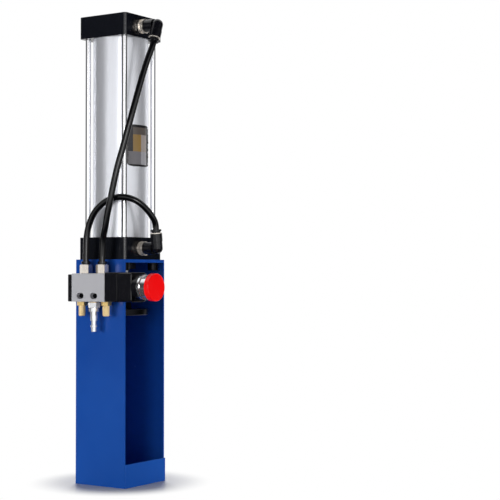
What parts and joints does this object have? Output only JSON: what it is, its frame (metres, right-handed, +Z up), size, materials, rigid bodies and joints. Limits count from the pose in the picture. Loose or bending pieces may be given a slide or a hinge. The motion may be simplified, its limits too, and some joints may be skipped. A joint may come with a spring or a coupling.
{
  "type": "pneumatic can crusher",
  "caption": "Upright pneumatic can crusher: a tie-rod air cylinder on an open-fronted blue steel box, with a palm-button spool valve, push-in fittings and hoses.",
  "frame": {"origin": "middle of the housing's underside, on the axis of the cylinder", "axes": "+X to the right of an operator who faces the open front, +Y to the back, +Z up along the cylinder"},
  "size_m": [0.11, 0.1399, 0.595],
  "materials": {
    "blue_paint": "gloss",
    "dark_steel": "satin, blackened",
    "bright_steel": "bright",
    "black_caps": "satin black coat",
    "barrel_aluminium": "satin anodised",
    "label": "satin print, bare of words",
    "brass": "satin",
    "sintered_brass": "grainy",
    "seal_rubber": "matt",
    "white_plastic": "satin",
    "valve_aluminium": "matt, bead blasted",
    "black_plastic": "satin",
    "chrome": "mirror",
    "red_plastic": "gloss",
    "nickel": "bright nickel plate",
    "hose": "satin polyurethane"
  },
  "bodies": {
    "frame": {"housing_channel": "blue_paint", "floor_plate": "blue_paint", "front_lip": "blue_paint", "top_plate": "blue_paint", "mounting_screws": "dark_steel", "lock_washers": "dark_steel", "front_cap": "black_caps", "rear_cap": "black_caps", "cylinder_barrel": "barrel_aluminium", "barrel_label": "label", "tie_rods": "bright_steel", "tie_rod_nuts": "bright_steel", "rod_bush": "brass", "rod_seal": "seal_rubber", "barrel_seals": "seal_rubber", "valve_body": "valve_aluminium", "valve_end_cap": "black_plastic", "end_cap_screws": "dark_steel", "valve_screws": "dark_steel", "valve_screw_nuts": "bright_steel", "actuator_block": "black_plastic", "adapter_plate": "black_plastic", "button_block": "black_plastic", "button_collar": "black_plastic", "button_bezel": "chrome", "button_spring": "bright_steel", "spool_spring": "bright_steel", "silencer_bases": "brass", "silencer_elements": "sintered_brass", "inlet_washer": "brass", "inlet_plug": "nickel", "rear_port_fitting": "nickel", "front_port_fitting": "nickel", "lower_elbow_stud": "nickel", "upper_elbow_stud": "nickel", "lower_elbow_body": "black_plastic", "upper_elbow_body": "black_plastic", "elbow_rings": "nickel", "tube_seals": "seal_rubber", "lower_hose": "hose", "upper_hose": "hose"},
    "ram": {"piston": "barrel_aluminium", "piston_seals": "seal_rubber", "piston_guide_ring": "white_plastic", "cushion_sleeve": "brass", "piston_nut": "bright_steel", "piston_rod": "bright_steel", "jam_nut": "dark_steel", "crush_disc": "dark_steel"},
    "button": {"button_cap": "red_plastic", "button_stem": "white_plastic"},
    "spool": {"valve_spool": "bright_steel", "spool_seals": "seal_rubber"},
    "lower_needle": {"lower_cushion_needle": "brass"},
    "upper_needle": {"upper_cushion_needle": "brass"},
    "rear_port_release": {"rear_port_collar": "black_plastic"},
    "front_port_release": {"front_port_collar": "black_plastic"},
    "lower_elbow_release": {"lower_elbow_collar": "black_plastic"},
    "upper_elbow_release": {"upper_elbow_collar": "black_plastic"}
  },
  "joints": [
    {"name": "ram_stroke", "type": "slide", "parent": "frame", "child": "ram", "axis": [0, 0, -1], "range_m": [0, 0.2]},
    {"name": "button_press", "type": "slide", "parent": "frame", "child": "button", "axis": [0, 1, 0], "range_m": [0, 0.0055], "stiffness_N_per_m": 800, "springref_m": -0.008, "deforming": ["button_spring"]},
    {"name": "spool_shift", "type": "slide", "parent": "frame", "child": "spool", "axis": [0, 1, 0], "range_m": [0, 0.0055], "deforming": ["spool_spring"]},
    {"name": "lower_needle_turn", "type": "hinge", "parent": "frame", "child": "lower_needle", "pos_m": [0.0375, -0.0187, 0.301], "axis": [-1, 0, 0], "range_deg": [0, 720]},
    {"name": "upper_needle_turn", "type": "hinge", "parent": "frame", "child": "upper_needle", "pos_m": [0.0375, -0.0187, 0.579], "axis": [-1, 0, 0], "range_deg": [0, 720]},
    {"name": "rear_port_press", "type": "slide", "parent": "frame", "child": "rear_port_release", "axis": [0, 0, -1], "range_m": [0, 0.001]},
    {"name": "front_port_press", "type": "slide", "parent": "frame", "child": "front_port_release", "axis": [0, 0, -1], "range_m": [0, 0.001]},
    {"name": "lower_elbow_press", "type": "slide", "parent": "frame", "child": "lower_elbow_release", "axis": [0.1219, 0, -0.9925], "range_m": [0, 0.001]},
    {"name": "upper_elbow_press", "type": "slide", "parent": "frame", "child": "upper_elbow_release", "axis": [0.342, 0, 0.9397], "range_m": [0, 0.001]}
  ],
  "couplings": [
    {"joint": "spool_shift", "follows": "button_press", "ratio": 1}
  ]
}
